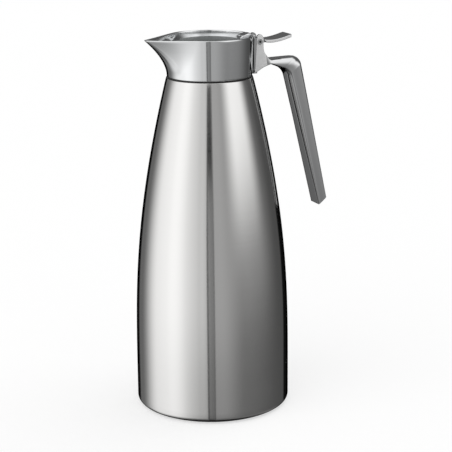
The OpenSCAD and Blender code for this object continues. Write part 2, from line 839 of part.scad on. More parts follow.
module thumb_lever() {
    color("silver") difference() {
        union() {
            intersection() {
                side_slab(lever_half_w + 1) lever_outline();
                translate([0, 0, pin_z - 20]) linear_extrude(40) lever_plan();
            }
            side_slab(arm_half_w) arm_outline();
            cross_rod(pin_x, pin_z, knuckle_r, arm_half_w);
        }
        cross_rod(pin_x, pin_z, bush_r, arm_half_w + 5);
        cross_rod(pin_x, pin_z, knuckle_r + 0.3, spring_half_w);
        rotate_extrude() polygon([
            [0, lid_z - 20],
            [lid_r + 0.4, lid_z - 20],
            [lid_r + 0.4, lid_edge_z],
            [lid_r, lid_edge_z],
            [lid_flat_r, lid_z],
            [0, lid_z]
        ]);
        foot_screw_holes(foot_screw_r + screw_play, lid_z - 5, lid_z + 8);
        foot_screw_holes(foot_screw_head_r + screw_play, foot_screw_z, lid_z + 8);
        for (side = [-1, 1])
            translate([0, side * (arm_half_w + 5), 0]) side_slab(5) lever_shoulder_cut();
    }
}

module lever_screws() {
    color("gray") for (side = [-1, 1])
        translate([foot_screw_x, side * foot_screw_half, 0]) {
            translate([0, 0, lid_z - 4.8]) cylinder(r = foot_screw_r, h = foot_screw_z - lid_z + 4.8);
            translate([0, 0, foot_screw_z]) cylinder(r = foot_screw_head_r, h = 0.9);
        }
}

module hinge_bushes() {
    color("white") difference() {
        union() for (side = [-1, 1])
            translate([pin_x, side * (arm_half_w + spring_half_w) / 2, pin_z]) rotate([90, 0, 0])
                cylinder(r = bush_r, h = arm_half_w - spring_half_w, center = true);
        cross_rod(pin_x, pin_z, bush_in_r, arm_half_w + 5);
    }
}

outer_shell();
shell_base();
inner_flask();
flask_base();
heat_shield();
flask_support();
getter();
vacuum_seal();
foot_pad();
seam_gasket();
neck_insert();
neck_ring();
collar();
saddle();
handle();
backing_plate();
handle_screws();
hinge_pin();
torsion_spring();
lid_cap();
lid_plug();
lid_base();
lid_insulation();
lid_seal();
thumb_lever();
lever_screws();
hinge_bushes();
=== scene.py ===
"""Dresses a double-walled vacuum jug with a pouring collar, a flip lid and an open cast handle.

Every size is in metres. The jug stands on z = 0 with its axis on Z, its handle towards +X and its
spout towards -X. Each operator makes one piece, or one group of like pieces, and sets its finish.
"""
import math

import bmesh
import bpy
from bpy.props import FloatProperty, FloatVectorProperty, IntProperty, PointerProperty
from mathutils import Matrix, Vector


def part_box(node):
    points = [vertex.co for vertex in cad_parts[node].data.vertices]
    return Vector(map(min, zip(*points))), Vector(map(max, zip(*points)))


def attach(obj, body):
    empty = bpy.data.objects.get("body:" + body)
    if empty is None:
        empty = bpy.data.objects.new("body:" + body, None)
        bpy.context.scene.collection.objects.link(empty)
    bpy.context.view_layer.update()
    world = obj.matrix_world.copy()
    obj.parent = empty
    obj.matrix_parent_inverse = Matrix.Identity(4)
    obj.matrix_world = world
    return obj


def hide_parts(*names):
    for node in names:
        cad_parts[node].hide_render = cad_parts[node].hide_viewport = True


bl_info = {
    "name": "Flip lid vacuum jug",
    "version": (1, 0, 0),
    "blender": (4, 5, 0),
    "location": "View3D > Sidebar > Jug",
    "description": "Makes the smooth pieces, finishes and studio of a steel vacuum jug",
    "category": "Add Mesh",
}

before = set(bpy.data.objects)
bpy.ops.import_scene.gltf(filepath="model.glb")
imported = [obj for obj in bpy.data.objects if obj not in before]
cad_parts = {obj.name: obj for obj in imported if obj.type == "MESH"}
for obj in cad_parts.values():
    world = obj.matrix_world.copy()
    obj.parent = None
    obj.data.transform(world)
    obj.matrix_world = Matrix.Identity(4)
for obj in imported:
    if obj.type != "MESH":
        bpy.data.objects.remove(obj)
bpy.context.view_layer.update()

MM = 0.001
JUG = "jug"
LID = "lid"

shell_low, shell_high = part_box("outer_shell")
collar_low, collar_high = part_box("collar")
cap_low, cap_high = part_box("lid_cap")
lever_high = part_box("thumb_lever")[1]
handle_low, handle_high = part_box("handle")
saddle_low, saddle_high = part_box("saddle")
pin_low, pin_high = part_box("hinge_pin")
gasket_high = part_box("seam_gasket")[1]
pin_centre = (pin_low + pin_high) / 2


# ----------------------------------------
# Settings


def length(name, description, default):
    """A size in metres that a user can change."""
    return FloatProperty(name=name, description=description, default=default, min=0, unit="LENGTH")


def mm(name, description, millimetres):
    """A size that is given in millimetres."""
    return length(name, description, millimetres * MM)


def angle(name, description, degrees):
    """An angle that a user can change."""
    return FloatProperty(
        name=name, description=description, default=math.radians(degrees), subtype="ANGLE"
    )


def factor(name, description, default):
    """A plain share or exponent that a user can change."""
    return FloatProperty(name=name, description=description, default=default, min=0)


def colour(name, description, default):
    """A linear colour that a user can change."""
    return FloatVectorProperty(
        name=name, description=description, default=default, subtype="COLOR", size=3, min=0, max=1
    )


def count(name, description, default):
    """A number of steps that a user can change."""
    return IntProperty(name=name, description=description, default=default, min=3)


class JugShellSettings(bpy.types.PropertyGroup):
    """Sizes of the outer shell."""

    body_r: length("Body radius", "Largest radius of the shell", shell_high.x)
    foot_z: length("Foot", "Height of the shell's lower edge", shell_low.z)
    shoulder_z: length("Shoulder height", "Height of the shoulder", shell_high.z)
    shoulder_r: mm("Shoulder radius", "Radius at the shoulder", 34)
    neck_r: mm("Neck radius", "Radius of the hole in the shoulder", 26.2)
    wall_t: mm("Wall", "Thickness of the shell", 1)
    base_fillet: mm("Base rounding", "Radius of the rounded bottom edge", 4)
    base_lip: mm("Base lip", "Width of the inturned lower edge", 6)
    wall_straight: mm("Straight wall", "Height up to which the wall is upright", 30)
    pull_low: mm("Lower pull", "How long the wall keeps its upright direction", 70)
    pull_high: mm("Upper pull", "How long the wall keeps the shoulder's slope", 108)
    shoulder_slope: angle("Shoulder slope", "Slope of the wall at the shoulder", 14)
    shoulder_edge: mm("Shoulder edge", "Rounding of the shoulder's edge", 0.25)
    seam_drop: mm("Seam drop", "Depth of the groove for the black seam ring", 0.9)
    seam_w: mm("Seam width", "Width of the groove for the black seam ring", 1.4)
    wall_steps: count("Wall steps", "Rings along the curved wall", 72)
    turns: count("Steps round", "Steps round the jug's axis", 180)


class JugCollarSettings(bpy.types.PropertyGroup):
    """Sizes of the pouring collar."""

    foot_z: length("Foot", "Height of the collar's lower edge", collar_low.z - 0.2 * MM)
    rim_z: length("Rim", "Height of the rim", collar_high.z)
    rim_r: length("Rim radius", "Radius of the collar at the rim", collar_high.x)
    flare: mm("Flare", "How much the collar widens up to the rim", 0.8)
    wall_t: mm("Wall", "Thickness of the collar", 1)
    reach: length("Spout reach", "Reach of the spout at full rim height", 0.7 * MM - collar_low.x)
    tip_r: mm("Spout tip", "Rounding of the spout's tip", 2.8)
    tip_dip: mm("Tip dip", "How far the rim falls towards the spout's tip", 0.6)
    spout_power: factor("Spout flare", "How late the spout flares out", 1.75)
    lip_h: mm("Lip", "Height of the rounded lip", 1.1)
    foot_r: mm("Foot rounding", "Rounding of the collar's lower edge", 0.4)
    notch_half_w: mm("Notch half width", "Half width of the notch for the lid arm", 5.8)
    notch_depth: mm("Notch depth", "Depth of the notch for the lid arm", 3)
    levels: count("Levels", "Rings along the collar's height", 30)
    half_steps: count("Steps round", "Steps round half of the collar", 120)


class JugLidSettings(bpy.types.PropertyGroup):
    """Sizes of the lid cap."""

    lid_r: length("Radius", "Radius of the lid's edge", cap_high.x)
    lid_z: length("Top", "Height of the lid's flat top", cap_high.z)
    foot_z: length("Skirt", "Height of the cap's lower edge", cap_low.z)
    border_w: mm("Border", "Width of the sloping border", 7)
    border_drop: mm("Border drop", "Fall of the sloping border", 3.3)
    wall_t: mm("Wall", "Thickness of the cap", 0.8)
    edge_r: mm("Edge", "Rounding between top and border", 0.5)
    turns: count("Steps round", "Steps round the lid", 128)


class JugLeverSettings(bpy.types.PropertyGroup):
    """Sizes of the thumb lever and the lid arm."""

    half_w: length("Half width", "Half width of the thumb plate", lever_high.y)
    tip_x: length("Tip", "Distance of the tip from the jug axis", lever_high.x)
    plate_t: mm("Thickness", "Thickness of the thumb plate", 2.3)
    dip: mm("Dip", "Depth of the plate's dip", 0.9)
    rise: mm("Rise", "Rise of the tip above the root", 2.6)
    root_x: mm("Root", "Distance of the plate's root behind the pin", 3.7)
    root_z: mm("Root height", "Height of the plate's root above the pin", 1.7)
    corner_r: mm("Corner", "Rounding of the tip's corners", 1.3)
    edge_r: mm("Edge", "Rounding of the plate's edges", 0.45)
    arm_half_w: mm("Arm half width", "Half width of the lid arm", 5.2)
    knuckle_r: mm("Knuckle", "Radius of the hinge knuckle", 3.3)
    bush_r: mm("Bush", "Radius of the bore for the bushes", 2.3)
    spring_half_w: mm("Spring gap", "Half width of the gap for the spring", 2.3)
    bevel: mm("Bevel", "Rounding of the arm's edges", 0.9)


class JugHandleSettings(bpy.types.PropertyGroup):
    """Sizes of the cast handle."""

    half_w: length("Half width", "Half width of the handle", handle_high.y)
    top_z: length("Top", "Height of the bracket's rounded top", handle_high.z)
    back_x: mm("Bracket back", "Distance of the bracket's back from the axis", 43.2)
    foot_x: mm("Bracket foot", "Distance of the bracket's lower front corner", 35.5)
    foot_z: mm("Foot height", "Height of the bracket's lower edge", 268.5)
    tip_x: length("Toe", "Distance of the toe under the saddle", handle_low.x)
    fillet_r: mm("Fillet", "Radius of the fillet between bracket and arm", 9.8)
    arm_top_z: mm("Arm top", "Height of the arm's upper side", 279.2)
    arm_reach: mm("Arm", "Distance from the bracket's back to the arm's thinnest place", 7.3)
    arm_t: mm("Arm thickness", "Thickness of the arm at its thinnest place", 4.3)
    under_slope: angle("Underside", "Slope of the arm's underside", 23)
    crown_rise: mm("Crown", "Rise of the handle's crown above the arm", 0.3)
    bend_reach: mm("Bend", "Distance from the bracket's back to the bend's corner", 33.4)
    bend_outer_r: mm("Outer bend", "Rounding of the bend's outer corner", 6.5)
    bend_inner_r: mm("Inner bend", "Rounding of the bend's inner corner", 10)
    grip_len: mm("Grip", "Length of the grip's outer side", 120.5)
    grip_lean: angle("Lean", "Lean of the grip's outer side from upright", 11.4)
    grip_top_at: mm("Grip top", "Where the grip's thickness is measured", 20)
    grip_top_t: mm("Grip top thickness", "Thickness of the grip below the bend", 13.3)
    grip_end_t: mm("Grip end thickness", "Thickness of the grip at its end", 8.2)
    grip_r: mm("Grip edge", "Rounding of the grip's edges at its end", 1.1)
    grip_inner_r: mm("Inner edge", "Rounding of the grip's edges towards the jug", 4.2)
    bend_edge_r: mm("Bend edge", "Rounding of the outer edges in the bend", 5.5)
    arm_edge_r: mm("Arm edge", "Rounding of the arm's edges", 1.0)
    matt_share: factor("Matt share", "Share of the bracket's rings before the arm's rounding", 0.72)
    # The matt sides carry the near-white colour of a painted highlight.
    matt_w: mm("Matt width", "How far the matt sides reach behind the bracket", 2.35)
    matt_lean: factor("Matt lean", "Lean of the matt sides' edge", 0.08)
    arm_crown: mm("Arm crown", "Fall of the arm's top towards its edges", 1.1)
    arm_taper: factor("Arm taper", "How much narrower the arm is at its top", 0.12)
    end_slope: angle("End slope", "Slope of the cut across the grip's end", 40)
    edge_r: mm("Edge", "Rounding of the bracket's edges", 0.55)
    slot_half_w: mm("Slot half width", "Half width of the slot for the knuckle", 5.4)
    slot_z: mm("Slot floor", "Height of the slot's floor", 288.5)


class JugDetailSettings(bpy.types.PropertyGroup):
    """Sizes of the black strips beside the saddle, a painted shadow in the gap there, and of the black
    discs in the hinge pin's ends, painted shade in the pin's hollow ends.
    """

    # The strips are a painted shadow: black pieces where only the gap's shadow falls beside the saddle.
    strip_low_w: mm("Strip foot", "Width of each strip at its foot", 1.1)
    strip_high_w: mm("Strip top", "Width of each strip at its top", 2.6)
    strip_depth: mm("Strip depth", "How far each strip reaches in from the saddle's side", 0.5)
    strip_lap: mm("Strip lap", "How far each strip stands out of the saddle", 0.35)
    strip_reach: mm("Strip reach", "How far each strip reaches in front of the saddle", 0.7)
    strip_end: mm("Strip end", "Distance of a strip's ends from the saddle's ends", 0.2)
    # The discs are painted shade: black pieces where only the shade inside the pin's hollow ends falls.
    shadow_disc_r: mm("Plug", "Radius of the plugs in the pin's ends", 0.98)
    shadow_disc_depth: mm("Plug depth", "How far the plugs reach into the pin", 0.45)
    shadow_disc_inset: mm("Plug inset", "How far the plugs sit behind the pin's ends", 0.05)


class JugFinishSettings(bpy.types.PropertyGroup):
    """Colours and gloss of the jug's materials."""

    satin: colour("Satin steel", "Steel of the body", (0.80, 0.795, 0.785))
    polished: colour("Polished steel", "Polished steel of the collar", (0.80, 0.81, 0.815))
    # The lid top's dark colour is a painted reflection: the dark it mirrors from behind the jug, put into
    # the steel's colour.
    lid_top_painted_reflection: colour("Lid top", "Dark brushed steel of the lid's top", (0.20, 0.215, 0.215))
    cast: colour("Cast steel", "Steel of the handle and lever", (0.74, 0.745, 0.75))
    # The near-white colour of the flat sides is a painted highlight that makes them look lit; their matt
    # roughness is their own finish.
    matt_painted_highlight: colour("Matt steel with painted highlight", "Matt side plates of the bracket", (0.92, 0.92, 0.92))
    flask: colour("Flask steel", "Steel inside the jug", (0.6, 0.6, 0.59))
    plastic: colour("Grey plastic", "Neck insert and lid parts", (0.05, 0.053, 0.053))
    rubber: colour("Silicone", "Seals, gasket and foot", (0.012, 0.012, 0.012))
    satin_rough: factor("Satin roughness", "Roughness of the satin steel", 0.12)
    polished_rough: factor("Polished roughness", "Roughness of the collar", 0.09)
    cast_rough: factor("Cast roughness", "Roughness of the handle and lever", 0.08)


class JugStudioSettings(bpy.types.PropertyGroup):
    """Camera, floor and light of the studio."""

    camera_distance: mm("Distance", "Camera distance over the ground", 1158.4)
    camera_z: mm("Height", "Camera height", 456.4)
    turn: angle("Turn", "How far the camera stands round towards the spout", 23)
    pitch: angle("Pitch", "How far the camera looks down", 14.998)
    yaw: angle("Yaw", "How far the camera looks aside", -0.59)
    roll: angle("Roll", "How far the camera leans", -0.48)
    lens: factor("Lens", "Focal length in millimetres", 118.5)
    floor_r: length("Floor", "Radius of the floor", 12.0)
    room_level: factor("Room level", "Brightness of the room on matt surfaces", 0.72)
    floor_glow: factor("Floor glow", "Light that the floor adds towards the camera", 0.56)
    lamp_power: factor("Lamp power", "Strength of each broad sun", 0.6)
    lamp_spread: angle("Lamp spread", "How broad each sun is", 60)


# ----------------------------------------
# Shapes


def bezier(poles, t):
    """A point on a cubic curve with four poles."""
    weights = ((1 - t) ** 3, 3 * (1 - t) ** 2 * t, 3 * (1 - t) * t * t, t**3)
    return tuple(sum(w * p[k] for w, p in zip(weights, poles)) for k in range(2))


def arc(centre, radius, start, end, steps, rise=None):
    """Points on a circle, or an ellipse with a rise of its own, between two angles in degrees."""
    rise = rise or radius
    angles = [math.radians(start + (end - start) * i / steps) for i in range(steps + 1)]
    return [(centre[0] + radius * math.cos(a), centre[1] + rise * math.sin(a)) for a in angles]


def blend(a, b, t):
    """A value, or a tuple of values, between two others."""
    if isinstance(a, tuple):
        return tuple(blend(x, y, t) for x, y in zip(a, b))
    return a + (b - a) * t


def smooth(t):
    """A soft step from 0 to 1."""
    t = min(1, max(0, t))
    return t * t * (3 - 2 * t)


def lookup(x, table):
    """Reads a table of (x, value) rows, with straight lines between them."""
    for (x0, y0), (x1, y1) in zip(table, table[1:]):
        if x <= x1:
            return blend(y0, y1, max(0, (x - x0) / (x1 - x0)))
    return table[-1][1]


def lathe_rings(profile, turns):
    """One ring of points round the Z axis for each (radius, height) of a profile."""
    steps = [2 * math.pi * i / turns for i in range(turns)]
    return [[(r * math.cos(a), r * math.sin(a), z) for a in steps] for r, z in profile]


def loft(name, rings, closed=False):
    """A closed mesh through rings of points. A loft that isn't closed on itself gets two end caps."""
    size = len(rings[0])
    last = len(rings) if closed else len(rings) - 1
    faces = []
    for k in range(last):
        a, b = k * size, (k + 1) % len(rings) * size
        for i in range(size):
            j = (i + 1) % size
            faces.append((a + i, a + j, b + j, b + i))
    if not closed:
        faces.append(tuple(reversed(range(size))))
        faces.append(tuple(range((len(rings) - 1) * size, len(rings) * size)))
    return solid(name, [p for ring in rings for p in ring], faces)


def solid(name, points, faces):
    """A mesh object in the scene with its faces turned outwards."""
    mesh = bpy.data.meshes.new(name)
    mesh.from_pydata(points, [], faces)
    obj = bpy.data.objects.new(name, mesh)
    bpy.context.scene.collection.objects.link(obj)
    with_bmesh(obj, lambda bm: bmesh.ops.recalc_face_normals(bm, faces=bm.faces))
    return obj


def with_bmesh(obj, edit):
    """Runs an edit on an object's mesh."""
    bm = bmesh.new()
    bm.from_mesh(obj.data)
    edit(bm)
    bm.to_mesh(obj.data)
    bm.free()


def slab(name, outline, half_w):
    """An outline in the XZ plane, given a width along Y."""
    rings = [[(x, side * half_w, z) for x, z in outline] for side in (-1, 1)]
    return loft(name, rings)


def rod(name, x, z, radius, half_w, turns=48):
    """A round rod along Y."""
    outline = arc((x, z), radius, 0, 360, turns)[:-1]
    return slab(name, outline, half_w)


def combine(obj, other, operation):
    """Joins another solid to this one, or cuts it away, and deletes the other."""
    modifier = obj.modifiers.new(operation.title(), "BOOLEAN")
    modifier.operation = operation
    modifier.solver = "EXACT"
    modifier.object = other
    bpy.context.view_layer.update()
    evaluated = obj.evaluated_get(bpy.context.evaluated_depsgraph_get())
    mesh = bpy.data.meshes.new_from_object(evaluated)
    obj.modifiers.clear()
    obj.data = mesh
    bpy.data.objects.remove(other)


def round_edges(obj, width, segments, chosen):
    """Rounds the edges that a test picks."""

    def edit(bm):
        edges = [e for e in bm.edges if chosen(e)]
        bmesh.ops.bevel(
            bm, geom=edges, offset=width, segments=segments, profile=0.5, affect="EDGES"
        )

    with_bmesh(obj, edit)


def shade(obj, degrees):
    """Shades smoothly, with an edge kept sharp above an angle."""
    obj.data.shade_smooth()
    obj.data.set_sharp_from_angle(angle=math.radians(degrees))


def dress(obj, body, materials, nodes=()):
    """Gives a piece its materials, its body and the nodes it stands for."""
    obj.data.materials.clear()
    for material in materials:
        obj.data.materials.append(material)
    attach(obj, body)
    if nodes:
        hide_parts(*nodes)


# ----------------------------------------
# Materials


class Graph:
    """Adds nodes to a node tree and links them."""

    def __init__(self, tree):
        self.tree = tree
        tree.nodes.clear()

    def add(self, kind, **settings):
        """A node with some of its settings given."""
        node = self.tree.nodes.new(kind)
        for key, value in settings.items():
            setattr(node, key, value)
        return node

    def put(self, node, name, value):
        """Links a socket to an input, or sets the input to a constant."""
        socket = node.inputs[name]
        if isinstance(value, bpy.types.NodeSocket):
            self.tree.links.new(value, socket)
        else:
            socket.default_value = value

    def math(self, operation, *values):
        """The result of a Math node."""
        node = self.add("ShaderNodeMath", operation=operation)
        for i, value in enumerate(values):
            self.put(node, i, value)
        return node.outputs[0]

    def ramp(self, value, low, high, to_low=0.0, to_high=1.0):
        """A value that runs softly between two levels while another runs between two others."""
        node = self.add("ShaderNodeMapRange", interpolation_type="SMOOTHSTEP")
        for i, given in enumerate((value, low, high, to_low, to_high)):
            self.put(node, i, given)
        return node.outputs[0]

    def noise(self, coordinates, scale, detail=2.0, roughness=0.5):
        """A noise over coordinates, with one scale or one along each axis."""
        scale = scale if isinstance(scale, tuple) else (scale, scale, scale)
        mapping = self.add("ShaderNodeMapping")
        self.put(mapping, "Vector", coordinates)
        mapping.inputs["Scale"].default_value = scale
        node = self.add("ShaderNodeTexNoise")
        self.put(node, "Vector", mapping.outputs[0])
        node.inputs["Scale"].default_value = 1
        node.inputs["Detail"].default_value = detail
        node.inputs["Roughness"].default_value = roughness
        return node.outputs["Fac"]


def new_material(name):
    """An empty material, its graph, its shader and its object coordinates."""
    material = bpy.data.materials.new(name)
    material.use_nodes = True
    graph = Graph(material.node_tree)
    shader = graph.add("ShaderNodeBsdfPrincipled")
    output = graph.add("ShaderNodeOutputMaterial")
    graph.put(output, "Surface", shader.outputs[0])
    place = graph.add("ShaderNodeTexCoord").outputs["Object"]
    return material, graph, shader, place


def tint(graph, shader, base, value, spread):
    """Varies the base colour a little, lighter and darker, with a value from 0 to 1."""
    mix = graph.add("ShaderNodeMix", data_type="RGBA")
    graph.put(mix, "Factor", value)
    mix.inputs["A"].default_value = (*[c * (1 - spread) for c in base], 1)
    mix.inputs["B"].default_value = (*[min(1, c * (1 + spread)) for c in base], 1)
    graph.put(shader, "Base Color", mix.outputs["Result"])


def bump(graph, shader, height, strength, distance):
    """Raises the surface by a height from 0 to 1."""
    node = graph.add("ShaderNodeBump")
    node.inputs["Strength"].default_value = strength
    node.inputs["Distance"].default_value = distance
    graph.put(node, "Height", height)
    graph.put(shader, "Normal", node.outputs[0])


def steel(name, base, roughness, grain, grain_depth, spread=0.03, anisotropic=0.0, metallic=1.0):
    """Steel with a fine grain, which a scale along each axis draws out in one direction."""
    material, graph, shader, place = new_material(name)
    lines = graph.noise(place, grain, detail=3, roughness=0.6)
    clouds = graph.noise(place, 35, detail=3)
    shader.inputs["Metallic"].default_value = metallic
    if anisotropic:
        shader.inputs["Anisotropic"].default_value = anisotropic
        shader.inputs["Anisotropic Rotation"].default_value = 0.25
        tangent = graph.add("ShaderNodeTangent", direction_type="RADIAL", axis="Z")
        graph.put(shader, "Tangent", tangent.outputs[0])
    worn = graph.math("MULTIPLY_ADD", clouds, 0.35, graph.math("MULTIPLY", lines, 0.65))
    graph.put(shader, "Roughness", graph.ramp(worn, 0.3, 0.7, roughness * 0.85, roughness * 1.2))
    tint(graph, shader, base, lines, spread)
    bump(graph, shader, lines, 1.0, grain_depth)
    return material


def moulded(name, base, roughness, grain=900, depth=2e-5):
    """Moulded plastic, silicone or foam with a fine grain."""
    material, graph, shader, place = new_material(name)
    grain_value = graph.noise(place, grain, detail=2)
    clouds = graph.noise(place, 40, detail=3)
    graph.put(shader, "Roughness", graph.ramp(clouds, 0.3, 0.7, roughness * 0.85, roughness * 1.1))
    tint(graph, shader, base, clouds, 0.08)
    bump(graph, shader, grain_value, 0.6, depth)
    return material


def make_finishes(f):
    """All materials by name."""
    brushed = (9, 9, 2600)
    polished = (9, 9, 1500)
    return {
        "satin": steel(
            "Satin steel", f.satin, f.satin_rough, brushed, 3e-6, spread=0.02, anisotropic=0.85
        ),
        "polished": steel(
            "Polished collar steel", f.polished, f.polished_rough, polished, 2e-6, 0.02, 0.8
        ),
        "mirror": steel("Mirror steel", (0.75, 0.76, 0.765), 0.06, 60, 4e-6),
        "cast": steel("Polished cast steel", f.cast, f.cast_rough, 500, 8e-6),
        # Near-white matt steel: a painted highlight on the flat sides.
        "matt_painted_highlight": steel("Matt steel with painted highlight", f.matt_painted_highlight, 0.48, 1400, 5e-5, spread=0.06, metallic=0.12),
        # Dark colour here is a painted reflection of the room behind the jug.
        "lid top painted reflection": steel("Lid top steel with painted reflection", f.lid_top_painted_reflection, 0.4, brushed, 3e-6, spread=0.02, metallic=0.5),
        "flask": steel("Flask steel", f.flask, 0.3, 300, 1e-5),
        "foil": steel("Foil", (0.72, 0.7, 0.66), 0.22, 120, 1e-4),
        "spring": steel("Spring wire", (0.42, 0.42, 0.43), 0.25, 900, 1e-5),
        "plastic": moulded("Grey plastic", f.plastic, 0.45),
        "white": moulded("White plastic", (0.75, 0.75, 0.73), 0.4),
        "rubber": moulded("Black silicone", f.rubber, 0.6),
        "foam": moulded("Foam", (0.72, 0.62, 0.4), 0.85, grain=1600, depth=2e-4),
    }


def finish(context, name):
    """One of the jug's materials, all of them made at first use."""
    if not FINISHES:
        FINISHES.update(make_finishes(context.scene.jug_finish))
    return FINISHES[name]


FINISHES = {}
# The parts that keep their own shape, by finish
NODE_FINISHES = {
    "flask": ("shell_base", "inner_flask", "flask_base", "getter", "vacuum_seal", "backing_plate"),
    "foil": ("heat_shield",),
    "white": ("flask_support", "hinge_bushes"),
    "rubber": ("foot_pad", "neck_ring", "lid_seal"),
    "plastic": ("neck_insert", "lid_plug", "lid_base"),
    "cast": ("saddle", "handle_screws"),
    "mirror": ("hinge_pin", "lever_screws"),
    "spring": ("torsion_spring",),
    "foam": ("lid_insulation",),
}


# ----------------------------------------
# Pieces


def seam_groove(s):
    """The outer radius, inner radius and floor height of the groove for the seam ring."""
    outer_r = s.shoulder_r + s.seam_drop * math.tan(s.shoulder_slope)
    return outer_r, outer_r - s.seam_w, s.shoulder_z - s.seam_drop


def shell_profile(s):
    """The closed outline of the shell's wall, as (radius, height) points."""
    fillet = (s.body_r - s.base_fillet, s.foot_z + s.base_fillet)
    poles = (
        (s.body_r, s.wall_straight),
        (s.body_r, s.wall_straight + s.pull_low),
        (s.shoulder_r + math.tan(s.shoulder_slope) * s.pull_high, s.shoulder_z - s.pull_high),
        (s.shoulder_r, s.shoulder_z),
    )
    wall = [bezier(poles, i / s.wall_steps) for i in range(s.wall_steps + 1)]
    upright = [blend((s.body_r, fillet[1]), wall[0], i / 6) for i in range(6)]
    lip_outer, groove_r, lip_z = seam_groove(s)
    edge_c = (lip_outer - s.shoulder_edge, lip_z - s.shoulder_edge)
    edge = arc(edge_c, s.shoulder_edge, math.degrees(s.shoulder_slope), 90, 5)
    outer = arc(fillet, s.base_fillet, -90, -6, 10) + upright
    outer += [p for p in wall if p[1] < edge[0][1] - 0.2 * MM] + edge
    outer += [(groove_r, lip_z), (groove_r, s.shoulder_z)]
    inner_r = s.base_fillet - s.wall_t
    inner = arc(fillet, inner_r, -90, -6, 6)
    inner += [(r - s.wall_t, z) for r, z in upright[::2]]
    inner += [(r - s.wall_t, z) for r, z in wall[::4] if z < lip_z - 3 * s.wall_t]
    inner += [(groove_r - s.wall_t, lip_z - s.wall_t), (s.neck_r, s.shoulder_z - s.wall_t)]
    lip_r = fillet[0] - s.base_lip
    return [(lip_r, s.foot_z)] + outer + [(s.neck_r, s.shoulder_z)] + inner[::-1] + [
        (lip_r, s.foot_z + s.wall_t)
    ]


class JUG_OT_add_shell(bpy.types.Operator):
    """Adds the smooth outer shell of brushed steel."""

    bl_idname = "jug.add_shell"
    bl_label = "Outer shell"

    def execute(self, context):
        s = context.scene.jug_shell
        obj = loft("shell_body", lathe_rings(shell_profile(s), s.turns), closed=True)
        shade(obj, 40)
        dress(obj, JUG, [finish(context, "satin")], ["outer_shell"])
        return {"FINISHED"}


class JUG_OT_add_seam_ring(bpy.types.Operator):
    """Adds the black ring that fills the seam between the shell and the collar."""

    bl_idname = "jug.add_seam_ring"
    bl_label = "Seam ring"

    def execute(self, context):
        s = context.scene.jug_shell
        collar = context.scene.jug_collar
        _, groove_r, low = seam_groove(s)
        play, chamfer = 0.05 * MM, 0.2 * MM
        outer = collar.rim_r - collar.flare - collar.foot_r * 0.5
        inner = gasket_high.x - 3 * MM
        profile = [(inner, s.shoulder_z), (groove_r + play, s.shoulder_z), (groove_r + play, low)]
        profile += [(outer - chamfer, low), (outer, low + chamfer)]
        profile += [(outer, collar.foot_z - play), (inner, collar.foot_z - play)]
        obj = loft("seam_ring", lathe_rings(profile, s.turns), closed=True)
        shade(obj, 40)
        dress(obj, JUG, [finish(context, "rubber")], ["seam_gasket"])
        return {"FINISHED"}


def plan_radius(a, big, small, reach):
    """Distance from the axis of a plan made of two circles joined by tangents."""
    tangent = math.acos((big - small) / reach) if reach > big - small + 1e-6 else 0
    tip_end = math.atan2(small * math.sin(tangent), reach + small * math.cos(tangent))
    if tangent == 0 or a >= tangent:
        return big
    if a > tip_end:
        return big / math.cos(tangent - a)
    return reach * math.cos(a) + math.sqrt(max(0, small**2 - (reach * math.sin(a)) ** 2))


def collar_angles(s):
    """Angles from the spout round half of the collar, close together at the tip and the notch."""
    angles = [math.pi * (i / s.half_steps) ** 1.7 for i in range(s.half_steps + 1)]
    edge = math.asin(s.notch_half_w / s.rim_r)
    angles += [math.pi - edge * k for k in (0.93, 0.97, 1.0, 1.03, 1.07)]
    return sorted(set(angles))


# Softness of the notch's sides, as a share of its half width
NOTCH_SOFT = 0.04


def collar_ring(s, angles, share, inset, drop):
    """One ring of the collar: a share of its height, an inset from its face and a drop from it."""
    notch_edge = math.asin(s.notch_half_w / s.rim_r)
    ring = []
    for a in angles + [-a for a in reversed(angles[1:-1])]:
        from_back = (math.pi - abs(a)) / notch_edge
        top = s.rim_z - s.notch_depth * smooth((1 + NOTCH_SOFT - from_back) / (2 * NOTCH_SOFT))
        top -= s.tip_dip * max(0, math.cos(a)) ** 6
        z = s.foot_z + (top - s.foot_z) * share - drop
        height = (z - s.foot_z) / (s.rim_z - s.foot_z)
        big = s.rim_r - s.flare * (1 - height)
        tip = blend(big, s.tip_r, height)
        reach = big + (s.reach - s.rim_r) * max(0, height) ** s.spout_power - tip
        r = plan_radius(abs(a), big - inset, tip - inset, reach)
        ring.append((-r * math.cos(a), r * math.sin(a), z))
    return ring


class JUG_OT_add_collar(bpy.types.Operator):
    """Adds the pouring collar with its spout, rounded lip and the notch for the lid arm."""

    bl_idname = "jug.add_collar"
    bl_label = "Pouring collar"

    def execute(self, context):
        s = context.scene.jug_collar
        angles = collar_angles(s)
        lip = s.lip_h / (s.rim_z - s.foot_z)
        foot = s.foot_r / (s.rim_z - s.foot_z)
        half_t = s.wall_t / 2
        rings = []
        for i in range(5):
            a = math.radians(90 * i / 5)
            rings.append(
                collar_ring(s, angles, 0, s.foot_r * (1 - math.sin(a)), s.foot_r * (math.cos(a) - 1))
            )
        rings += [
            collar_ring(s, angles, blend(foot, 1 - lip, i / s.levels), 0, 0) for i in range(s.levels)
        ]
        for i in range(9):
            a = math.radians(180 * i / 8)
            drop = s.lip_h * (1 - math.sin(a))
            rings.append(collar_ring(s, angles, 1, half_t * (1 - math.cos(a)), drop))
        rings += [
            collar_ring(s, angles, (1 - lip) * i / s.levels, s.wall_t, 0)
            for i in reversed(range(s.levels))
        ]
        obj = loft("pouring_collar", rings, closed=True)
        shade(obj, 50)
        dress(obj, JUG, [finish(context, "polished")], ["collar"])
        return {"FINISHED"}


